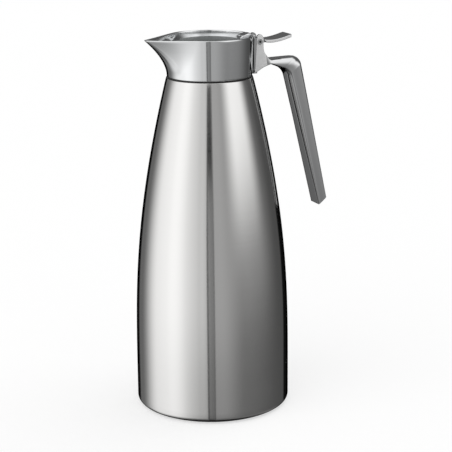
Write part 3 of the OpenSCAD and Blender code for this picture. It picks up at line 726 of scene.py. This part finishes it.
def cap_profile(s):
    """The lid cap's outline from its top centre over the edge to its lower centre."""
    flat_r = s.lid_r - s.border_w
    edge_z = s.lid_z - s.border_drop
    slope = math.degrees(math.atan2(s.border_drop, s.border_w))
    turn = (flat_r - s.edge_r * 0.3, s.lid_z - s.edge_r)
    top = [(flat_r * k, s.lid_z) for k in (0.02, 0.3, 0.6, 0.85, 0.95, 0.98)]
    top += arc(turn, s.edge_r, 90, 90 - slope, 4)
    top += [(s.lid_r - 0.5 * MM, edge_z + 0.22 * MM), (s.lid_r - 0.12 * MM, edge_z)]
    top += [(s.lid_r, edge_z - 0.3 * MM), (s.lid_r, s.foot_z)]
    inner_r = s.lid_r - s.wall_t
    inner = [(inner_r, s.foot_z), (inner_r, edge_z - s.wall_t * 0.55), (flat_r, s.lid_z - s.wall_t)]
    return top + inner + [(flat_r * 0.5, s.lid_z - s.wall_t), (flat_r * 0.02, s.lid_z - s.wall_t)]


class JUG_OT_add_lid_cap(bpy.types.Operator):
    """Adds the lid cap, with a brushed top inside a polished sloping border; the top's dark colour is a
    painted reflection of the dark room behind the jug.
    """

    bl_idname = "jug.add_lid_cap"
    bl_label = "Lid cap"

    def execute(self, context):
        s = context.scene.jug_lid
        obj = loft("lid_cap_steel", lathe_rings(cap_profile(s), s.turns))
        shade(obj, 30)
        materials = [finish(context, "lid top painted reflection"), finish(context, "mirror")]
        dress(obj, LID, materials, ["lid_cap"])
        flat_r = s.lid_r - s.border_w
        for face in obj.data.polygons:
            face.material_index = int(math.hypot(*face.center[:2]) > flat_r)
        return {"FINISHED"}


def corner_points(half_a, half_b, radius, sign):
    """Points round one corner of a section, from its outer or inner side to its flank."""
    ra, rb = min(radius, half_a * 0.95), min(radius, half_b * 0.95)
    turns = [math.pi / 2 * i / 8 for i in range(9)]
    return [
        (sign * (half_a - ra + ra * math.cos(t)), half_b - rb + rb * math.sin(t)) for t in turns
    ]


def section_ring(top, bottom, half_w, outer_r, inner_r=None, bulge=0.0, crown=0.0, taper=0.0):
    """A ring between a top and a bottom point of the XZ plane, with a width along Y.

    Its corners are rounded by one radius at the top and another at the bottom, and its four sides
    bulge outwards by a share of their half width. A crown lowers the top's edges by a length, and a
    taper makes the top narrower than the bottom by a share of the width.
    """
    centre = blend(top, bottom, 0.5)
    half = math.dist(top, bottom) / 2
    up = ((top[0] - bottom[0]) / (2 * half), (top[1] - bottom[1]) / (2 * half))
    side = corner_points(half, half_w, outer_r, 1) + [(0, half_w)]
    side += corner_points(half, half_w, inner_r or outer_r, -1)[::-1]
    points = [(half, 0)] + side + [(-half, 0)] + [(u, -v) for u, v in reversed(side)]
    ring = []
    for u, v in points:
        upper = (u / half + 1) / 2
        a = u * (1 - bulge * (v / half_w) ** 2) - crown * upper * (v / half_w) ** 2
        b = v * (1 - bulge * (u / half) ** 2) * (1 - taper * upper)
        ring.append((centre[0] + a * up[0], b, centre[1] + a * up[1]))
    return ring


# Brings the peak of t * (1 - t) ** 2 up to about 1
DIP_GAIN = 6.4


def plate_height(s, t):
    """Height of the thumb plate's upper side at a share of its length."""
    dip = DIP_GAIN * s.dip * t * (1 - t) ** 2
    return pin_centre.z + s.root_z - dip + s.rise * t**2.6


def arm_outline(s, collar, lid):
    """The lid arm, the knuckle and the root of the thumb plate, seen from the side."""
    x, z = pin_centre.x, pin_centre.z
    flat_r = lid.lid_r - lid.border_w
    foot = flat_r + 0.6 * MM
    border = lambda r: lid.lid_z - lid.border_drop * (r - flat_r) / lid.border_w
    rim = collar.rim_z
    outline = [
        (foot, border(foot)),
        (foot, lid.lid_z + 0.9 * MM),
        (foot + 1.8 * MM, lid.lid_z + 2.0 * MM),
        (foot + 4.9 * MM, lid.lid_z + 3.2 * MM),
        (collar.rim_r - 2.6 * MM, rim + 0.1 * MM),
        (collar.rim_r + 0.2 * MM, rim - 0.1 * MM),
        (x - 2.4 * MM, rim - 1.6 * MM),
        (x, z + s.knuckle_r),
        (x + 2.2 * MM, z + s.root_z + 0.3 * MM),
        (x + s.root_x + 1.4 * MM, plate_height(s, 0.03) - 0.1 * MM),
        (x + s.root_x + 3.4 * MM, plate_height(s, 0.08) - 0.5 * MM),
        (x + s.root_x + 3.4 * MM, plate_height(s, 0.08) - s.plate_t + 0.2 * MM),
        (x + 4.8 * MM, z - 1.35 * MM),
    ]
    outline += arc((x, z), s.knuckle_r, -65, -185, 10)
    outline += [
        (x - 3.2 * MM, z + 1.5 * MM),
        (collar.rim_r + 0.6 * MM, rim - 2.5 * MM),
        (collar.rim_r - 1.6 * MM, rim - 2.5 * MM),
        (lid.lid_r - 1.2 * MM, lid.lid_z - 1.2 * MM),
        (lid.lid_r - 1.2 * MM, border(lid.lid_r - 1.2 * MM)),
    ]
    return outline


class JUG_OT_add_lever(bpy.types.Operator):
    """Adds the thumb lever with the lid arm and the hinge knuckle, as one casting."""

    bl_idname = "jug.add_lever"
    bl_label = "Thumb lever"

    def execute(self, context):
        s = context.scene.jug_lever
        x, z = pin_centre.x, pin_centre.z
        root_x = x + s.root_x
        length_x = s.tip_x - root_x
        rings = []
        steps = 40
        for i in range(steps + 1):
            t = math.sin(math.pi / 2 * i / steps) ** 0.8
            top = (root_x + length_x * t, plate_height(s, t))
            wedge = min(1, 0.25 + 0.75 * (length_x * t) / (1.6 * MM))
            bottom = (top[0], top[1] - s.plate_t * wedge)
            past = max(0, top[0] - (s.tip_x - s.corner_r))
            side = s.half_w - s.corner_r + math.sqrt(max(0, s.corner_r**2 - past**2))
            corner = min(s.edge_r, 0.4 * s.plate_t * wedge)
            rings.append(section_ring(top, bottom, side, corner))
        plate = loft("thumb_lever_casting", rings)
        arm = slab("arm", arm_outline(s, context.scene.jug_collar, context.scene.jug_lid), s.arm_half_w)
        round_edges(
            arm,
            s.bevel,
            4,
            lambda e: abs(e.verts[0].co.y - e.verts[1].co.y) < 1e-6 and e.verts[0].co.x < x + 3 * MM,
        )
        combine(plate, arm, "UNION")
        combine(plate, rod("bore", x, z, s.bush_r, s.arm_half_w + 1 * MM), "DIFFERENCE")
        combine(plate, rod("gap", x, z, s.knuckle_r + 0.3 * MM, s.spring_half_w), "DIFFERENCE")
        shade(plate, 32)
        materials = [finish(context, "cast"), finish(context, "matt_painted_highlight")]
        dress(plate, LID, materials, ["thumb_lever"])
        # The lever's flat flanks take the near-white matt steel, a painted highlight.
        for face in plate.data.polygons:
            flank = abs(face.normal.y) > 0.9 and abs(face.center.y) > s.half_w - 0.2 * MM
            face.material_index = int(flank)
        return {"FINISHED"}


def along(p, direction, distance):
    """A point at a distance from another."""
    return (p[0] + direction[0] * distance, p[1] + direction[1] * distance)


def crossing(p, d, q, e):
    """Where two lines cross, each given by a point and a direction."""
    share = ((q[0] - p[0]) * e[1] - (q[1] - p[1]) * e[0]) / (d[0] * e[1] - d[1] * e[0])
    return along(p, d, share)


def rounded_path(start, end, corner, turn, radius, steps):
    """Points from a start to an end, round a corner that turns between two directions."""
    from_dir, to_dir = turn
    a0 = math.degrees(math.atan2(from_dir[0], -from_dir[1]))
    a1 = math.degrees(math.atan2(to_dir[0], -to_dir[1]))
    cut = radius * math.tan(math.radians(a0 - a1) / 2)
    first, last = along(corner, from_dir, -cut), along(corner, to_dir, cut)
    centre = along(first, (from_dir[1], -from_dir[0]), radius)
    path = [blend(start, first, i / steps[0]) for i in range(steps[0])]
    path += arc(centre, radius, a0, a1, steps[1])
    return path + [blend(last, end, (i / steps[2]) ** 1.3) for i in range(1, steps[2] + 1)]


def grip_lines(s):
    """The end of the grip's outer side, and the handle's outer and inner lines from the arm on."""
    corner = (s.back_x + s.bend_reach, s.arm_top_z + s.crown_rise)
    out = (math.sin(s.grip_lean), -math.cos(s.grip_lean))
    across = (-math.cos(s.grip_lean), -math.sin(s.grip_lean))
    end = along(corner, out, s.grip_len)
    inner_top = along(along(corner, out, s.grip_top_at), across, s.grip_top_t)
    inner_end = along(end, across, s.grip_end_t)
    size = math.dist(inner_top, inner_end)
    down = ((inner_end[0] - inner_top[0]) / size, (inner_end[1] - inner_top[1]) / size)
    under = (s.back_x + s.arm_reach, s.arm_top_z - s.arm_t)
    slope = (math.cos(s.under_slope), -math.sin(s.under_slope))
    spare = 12 * MM
    steps = (10, 22, 30)
    start = (s.back_x + s.arm_reach + 1.5 * MM, s.arm_top_z)
    outer = rounded_path(start, along(end, out, spare), corner, ((1, 0), out), s.bend_outer_r, steps)
    inner_corner = crossing(under, slope, inner_top, down)
    turn = (slope, down)
    inner = rounded_path(
        under, along(inner_end, down, spare), inner_corner, turn, s.bend_inner_r, steps
    )
    return end, outer, inner


def handle_rings(s):
    """Rings from the bracket's front over the fillet, the arm and the bend to the grip's end."""
    rise = 3.6 * MM
    middle = ((s.back_x + saddle_high.x) / 2, s.top_z - rise)
    dome = arc(middle, (s.back_x - saddle_high.x) / 2, 172, 0, 12, rise)
    fillet_c = (s.back_x + s.fillet_r, s.arm_top_z + s.fillet_r)
    tops = dome + [(s.back_x, blend(dome[-1][1], fillet_c[1], 0.5))]
    tops += arc(fillet_c, s.fillet_r, 180, 258, 14)
    end, outer, inner = grip_lines(s)
    under = [
        (s.foot_x, s.foot_z),
        (s.foot_x + 3.4 * MM, s.foot_z + 1.9 * MM),
        (s.foot_x + 6.8 * MM, s.foot_z + 3.9 * MM),
        (s.foot_x + 10 * MM, s.foot_z + 5.2 * MM),
        (s.foot_x + 12.6 * MM, s.foot_z + 6.0 * MM),
        inner[0],
    ]
    rings = []
    for i, top in enumerate(tops):
        share = i / len(tops)
        x = blend(s.foot_x + 0.05 * MM, inner[0][0], share)
        soft = smooth((share - s.matt_share) / (1 - s.matt_share))
        radius = blend(s.edge_r, s.arm_edge_r, soft)
        low = (x, lookup(x, under))
        crown, taper = s.arm_crown * soft, s.arm_taper * soft
        rings.append(section_ring(top, low, s.half_w, radius, radius, 0.02 * soft, crown, taper))
    for i, (top, bottom) in enumerate(zip(outer, inner)):
        share = i / (len(outer) - 1)
        arm_end = (0.16, 1.7 * s.arm_edge_r)
        start = [(0, s.arm_edge_r), arm_end]
        outer_r = lookup(share, [*start, (0.34, s.bend_edge_r), (0.6, 3 * MM), (1, s.grip_r)])
        inner_r = lookup(
            share, [*start, (0.3, 2 * MM), (0.55, s.grip_inner_r), (0.7, s.grip_inner_r), (1, s.grip_r)]
        )
        bulge = lookup(share, [(0, 0.02), (0.3, 0.08), (0.6, 0.07), (1, 0.01)])
        arm = lookup(share, [(0, 1), (0.2, 1), (0.5, 0), (1, 0)])
        crown, taper = s.arm_crown * arm, s.arm_taper * arm
        rings.append(section_ring(top, bottom, s.half_w, outer_r, inner_r, bulge, crown, taper))
    return rings, end


class JUG_OT_add_handle(bpy.types.Operator):
    """Adds the cast handle: bracket with two cheeks, arm, bend and grip."""

    bl_idname = "jug.add_handle"
    bl_label = "Handle"

    def execute(self, context):
        s = context.scene.jug_handle
        rings, end = handle_rings(s)
        obj = loft("handle_casting", rings)
        toe = [
            (s.tip_x, s.foot_z),
            (s.foot_x + 2.2 * MM, s.foot_z),
            (s.foot_x + 2.2 * MM, s.foot_z + 1.6 * MM),
            (s.foot_x + 0.4 * MM, s.foot_z + 1.6 * MM),
        ]
        combine(obj, slab("toe", toe, s.half_w - 0.3 * MM), "UNION")
        top = s.top_z + 5 * MM
        front, back = 20 * MM, 70 * MM
        slot = [(front, s.slot_z), (back, s.slot_z), (back, top), (front, top)]
        combine(obj, slab("slot", slot, s.slot_half_w), "DIFFERENCE")
        run, drop = 40 * MM, 30 * MM
        slope = s.end_slope
        corners = ((-run, 0), (run / 2, 0), (run / 2, -drop), (-run, -drop))
        cut = [
            (
                end[0] + a * math.cos(slope) - b * math.sin(slope),
                end[1] + a * math.sin(slope) + b * math.cos(slope),
            )
            for a, b in corners
        ]
        combine(obj, slab("end cut", cut, s.half_w + 2 * MM), "DIFFERENCE")
        shade(obj, 40)
        materials = [finish(context, "cast"), finish(context, "matt_painted_highlight")]
        dress(obj, JUG, materials, ["handle"])
        # The bracket's flat sides take the near-white matt steel, a painted highlight.
        matt_top_z = s.arm_top_z + 3.6 * MM
        for face in obj.data.polygons:
            flat_side = abs(face.normal.y) > 0.995 and abs(abs(face.center.y) - s.half_w) < 0.05 * MM
            lean = s.matt_lean * (matt_top_z - face.center.z)
            face.material_index = int(flat_side and face.center.x - lean < s.back_x + s.matt_w)
        return {"FINISHED"}


def mirrored_pair(name, outline, inner_y, outer_y):
    """One object of two like solids, one on each side of the jug, with an outline in XZ."""
    first, second = [
        loft(name, [[(x, side * y, z) for x, z in outline] for y in (inner_y, outer_y)])
        for side in (-1, 1)
    ]
    combine(first, second, "UNION")
    shade(first, 30)
    return first


class JUG_OT_add_painted_shade(bpy.types.Operator):
    """Adds painted shade: black strips beside the saddle for the shadow in the gap there, and black discs
    in the hinge pin's hollow ends for the shade inside them.
    """

    bl_idname = "jug.add_black_details"
    bl_label = "Painted shade"

    def execute(self, context):
        # Black silicone here is painted shade, not a part of the jug.
        black = [finish(context, "rubber")]
        s = context.scene.jug_details
        # The strips paint the shadow in the gap between the collar and the saddle's sides.
        side = saddle_high.y
        low, high = saddle_low.z + s.strip_end, saddle_high.z - s.strip_end
        front = saddle_low.x - s.strip_reach
        strip = [(front, low), (front + s.strip_low_w, low), (front + s.strip_high_w, high), (front, high)]
        obj = mirrored_pair("saddle_shadow_strips", strip, side - s.strip_depth, side + s.strip_lap)
        dress(obj, JUG, black)
        # The discs paint the shade inside the hinge pin's hollow ends.
        circle = arc((pin_centre.x, pin_centre.z), s.shadow_disc_r, 0, 360, 40)[:-1]
        end = pin_high.y
        obj = mirrored_pair("pin_shadow_discs", circle, end - s.shadow_disc_depth, end - s.shadow_disc_inset)
        dress(obj, JUG, black)
        return {"FINISHED"}


class JUG_OT_finish_inner_parts(bpy.types.Operator):
    """Gives every part that keeps its own shape its finish."""

    bl_idname = "jug.finish_inner_parts"
    bl_label = "Inner parts"

    def execute(self, context):
        for wanted, names in NODE_FINISHES.items():
            for name in names:
                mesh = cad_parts[name].data
                mesh.materials.clear()
                mesh.materials.append(finish(context, wanted))
        return {"FINISHED"}


# ----------------------------------------
# Studio


# Soft light panels round the jug: azimuth from the camera, half width and soft edge in degrees,
# the two elevations between which the panel comes in, and its level. Where the first elevation is
# the higher one, the panel lies below the two
PANELS = (
    (-81, 10, 44, -56, -14, 1.06),
    (-40, 3, 32, -46, -12, 0.50),
    (-50, 20, 40, -46, -12, 0.13),
    (-10, 2, 9, -34, -14, 0.15),
    (0, 12, 40, -34, -14, 0.27),
    (0, 20, 115, -34, -14, 0.15),
    (-140, 6, 18, -90, -89, 0.08),
    (63.6, 11, 29, -9, 12, 1.0),
    (70, 8, 46, -20, -8, 0.15),
    (180, 45, 20, 0, 5, 0.06),
    (0, 180, 1, 42, 60, 0.75),
    (-85, 12, 45, -24, -36, 0.32),
    (0, 180, 1, -24, -40, 0.12),
)
# Dark gaps between the panels: azimuth, half width and soft edge, elevation, half height and soft
# edge, and the share of light they take
GAPS = (
    (-1.8, 5.4, 1.0, -36, 54, 12, 0.46),
    (-6.4, 0.5, 0.9, -36, 54, 12, 0.45),
    (-6.3, 0.9, 0.9, -22, 24, 3, 0.32),
    (3.4, 0.4, 0.9, -36, 54, 12, 0.3),
    (-1.8, 4.0, 1.5, 18, 8, 2, 0.35),
    (-2.0, 3.3, 1.5, 10.6, 2.6, 1.8, 1.0),
    (-2.2, 1.5, 1.4, 17.9, 1.2, 1.0, 1.0),
    (-163, 14, 5, -36, 40, 12, 0.97),
    (-142, 12, 16, -60, 20, 10, 0.75),
    (148, 8, 5, -36, 36, 8, 0.95),
    (180, 24, 5, -48, 44, 4, 0.98),
    (0, 180, 1, -90, 34, 12, 0.6),
    (0, 180, 1, -90, 22, 8, 0.8),
)
DARKEST = 0.1


def window(graph, angle_socket, centre, half_w, edge):
    """1 inside a range of degrees, with soft edges, and 0 outside it."""
    offset = graph.math("WRAP", graph.math("SUBTRACT", angle_socket, centre), 180.0, -180.0)
    return graph.ramp(graph.math("ABSOLUTE", offset), half_w, half_w + edge, 1.0, 0.0)


def studio_level(graph, camera_azimuth):
    """Brightness of the studio in each direction, as polished metal sees it."""
    direction = graph.add("ShaderNodeTexCoord").outputs["Generated"]
    turned = graph.add("ShaderNodeVectorRotate", rotation_type="Z_AXIS")
    graph.put(turned, "Vector", direction)
    turned.inputs["Angle"].default_value = -camera_azimuth
    parts = graph.add("ShaderNodeSeparateXYZ")
    graph.put(parts, 0, turned.outputs[0])
    azimuth = graph.math("DEGREES", graph.math("ARCTAN2", parts.outputs[1], parts.outputs[0]))
    elevation = graph.math("DEGREES", graph.math("ARCSINE", parts.outputs[2]))
    level = DARKEST
    for centre, half_w, edge, low, high, strength in PANELS:
        across = window(graph, azimuth, centre, half_w, edge)
        if low > high:
            upward = graph.ramp(elevation, high, low, 1.0, 0.0)
        else:
            upward = graph.ramp(elevation, low, high)
        level = graph.math("MULTIPLY_ADD", graph.math("MULTIPLY", across, upward), strength, level)
    for centre, half_w, edge, height, half_h, edge_h, share in GAPS:
        across = window(graph, azimuth, centre, half_w, edge)
        upward = window(graph, elevation, height, half_h, edge_h)
        taken = graph.math("MULTIPLY", across, upward)
        level = graph.math("MULTIPLY", level, graph.math("MULTIPLY_ADD", taken, -share, 1.0))
    return level


def add_world(s, camera_azimuth):
    """White for the camera and through glass, panels for gloss, an even level for the rest."""
    world = bpy.data.worlds.new("Studio")
    bpy.context.scene.world = world
    world.use_nodes = True
    world.cycles.sampling_method = "NONE"
    graph = Graph(world.node_tree)
    rays = graph.add("ShaderNodeLightPath").outputs
    white = graph.math("MAXIMUM", rays["Is Camera Ray"], rays["Is Transmission Ray"])
    panels = studio_level(graph, camera_azimuth)
    extra = graph.math("SUBTRACT", panels, s.room_level)
    room = graph.math("MULTIPLY_ADD", rays["Is Glossy Ray"], extra, s.room_level)
    strength = graph.math("MULTIPLY_ADD", white, graph.math("SUBTRACT", 1.0, room), room)
    background = graph.add("ShaderNodeBackground")
    graph.put(background, "Strength", strength)
    output = graph.add("ShaderNodeOutputWorld")
    graph.put(output, "Surface", background.outputs[0])


def add_floor(s):
    """A pale floor that keeps the jug's soft shadow and that glossy rays pass through."""
    points = lathe_rings([(s.floor_r, 0)], 96)[0]
    floor = solid("studio_floor", points, [tuple(range(len(points)))])
    material, graph, shader, _ = new_material("Studio floor")
    shader.inputs["Base Color"].default_value = (0.5, 0.5, 0.5, 1)
    shader.inputs["Roughness"].default_value = 1
    shader.inputs["Specular IOR Level"].default_value = 0
    rays = graph.add("ShaderNodeLightPath").outputs
    shader.inputs["Emission Color"].default_value = (1, 1, 1, 1)
    graph.put(shader, "Emission Strength", graph.math("MULTIPLY", rays["Is Camera Ray"], s.floor_glow))
    clear = graph.add("ShaderNodeBsdfTransparent")
    mix = graph.add("ShaderNodeMixShader")
    graph.put(mix, "Fac", rays["Is Glossy Ray"])
    graph.put(mix, 1, shader.outputs[0])
    graph.put(mix, 2, clear.outputs[0])
    output = next(n for n in material.node_tree.nodes if n.type == "OUTPUT_MATERIAL")
    graph.put(output, "Surface", mix.outputs[0])
    floor.data.materials.append(material)


def add_camera(s):
    """The camera, which looks a little down at the jug from the spout's side."""
    data = bpy.data.cameras.new("Camera")
    data.sensor_width = 36
    data.lens = s.lens
    data.clip_end = 100
    camera = bpy.data.objects.new("Camera", data)
    bpy.context.scene.collection.objects.link(camera)
    place = Matrix.Rotation(-s.turn, 4, "Z") @ Matrix.Translation((0, -s.camera_distance, s.camera_z))
    aim = Matrix.Rotation(s.yaw, 4, "Z") @ Matrix.Rotation(math.pi / 2 - s.pitch, 4, "X")
    camera.matrix_world = place @ aim @ Matrix.Rotation(s.roll, 4, "Z")
    bpy.context.scene.camera = camera


def add_lamps(s):
    """Two broad soft suns that light matt surfaces and cast the floor's soft shadow."""
    for name, place in (("Lamp left", (-0.9, -0.5, 1.2)), ("Lamp right", (0.9, 0.1, 1.3))):
        data = bpy.data.lights.new(name, "SUN")
        data.angle = s.lamp_spread
        data.energy = s.lamp_power
        lamp = bpy.data.objects.new(name, data)
        bpy.context.scene.collection.objects.link(lamp)
        lamp.rotation_euler = (-Vector(place)).to_track_quat("-Z", "Y").to_euler()
        lamp.visible_glossy = False


class JUG_OT_add_studio(bpy.types.Operator):
    """Adds the floor, the camera and the soft studio light."""

    bl_idname = "jug.add_studio"
    bl_label = "Studio"

    def execute(self, context):
        s = context.scene.jug_studio
        add_camera(s)
        add_world(s, math.radians(-90) - s.turn)
        add_floor(s)
        add_lamps(s)
        context.scene.view_settings.view_transform = "Standard"
        return {"FINISHED"}


# ----------------------------------------
# Panel and registration


class JUG_PT_pieces(bpy.types.Panel):
    """Lists the jug's pieces in the sidebar."""

    bl_idname = "JUG_PT_pieces"
    bl_label = "Vacuum jug"
    bl_space_type = "VIEW_3D"
    bl_region_type = "UI"
    bl_category = "Jug"

    def draw(self, context):
        column = self.layout.column()
        for operator in OPERATORS:
            column.operator(operator.bl_idname)


SETTINGS = {
    "jug_shell": JugShellSettings,
    "jug_collar": JugCollarSettings,
    "jug_lid": JugLidSettings,
    "jug_lever": JugLeverSettings,
    "jug_handle": JugHandleSettings,
    "jug_details": JugDetailSettings,
    "jug_finish": JugFinishSettings,
    "jug_studio": JugStudioSettings,
}
OPERATORS = (
    JUG_OT_add_studio,
    JUG_OT_add_shell,
    JUG_OT_add_seam_ring,
    JUG_OT_add_collar,
    JUG_OT_add_lid_cap,
    JUG_OT_add_lever,
    JUG_OT_add_handle,
    JUG_OT_add_painted_shade,
    JUG_OT_finish_inner_parts,
)


def register():
    """Registers the settings, the operators and the panel."""
    for name, group in SETTINGS.items():
        bpy.utils.register_class(group)
        setattr(bpy.types.Scene, name, PointerProperty(type=group))
    for operator in OPERATORS:
        bpy.utils.register_class(operator)
    bpy.utils.register_class(JUG_PT_pieces)


def unregister():
    """Takes everything away again."""
    bpy.utils.unregister_class(JUG_PT_pieces)
    for operator in reversed(OPERATORS):
        bpy.utils.unregister_class(operator)
    for name, group in reversed(SETTINGS.items()):
        delattr(bpy.types.Scene, name)
        bpy.utils.unregister_class(group)


def main():
    register()
    bpy.ops.jug.add_studio()
    bpy.ops.jug.add_shell()
    bpy.ops.jug.add_seam_ring()
    bpy.ops.jug.add_collar()
    bpy.ops.jug.add_lid_cap()
    bpy.ops.jug.add_lever()
    bpy.ops.jug.add_handle()
    bpy.ops.jug.add_black_details()
    bpy.ops.jug.finish_inner_parts()


if __name__ == "__main__":
    main()
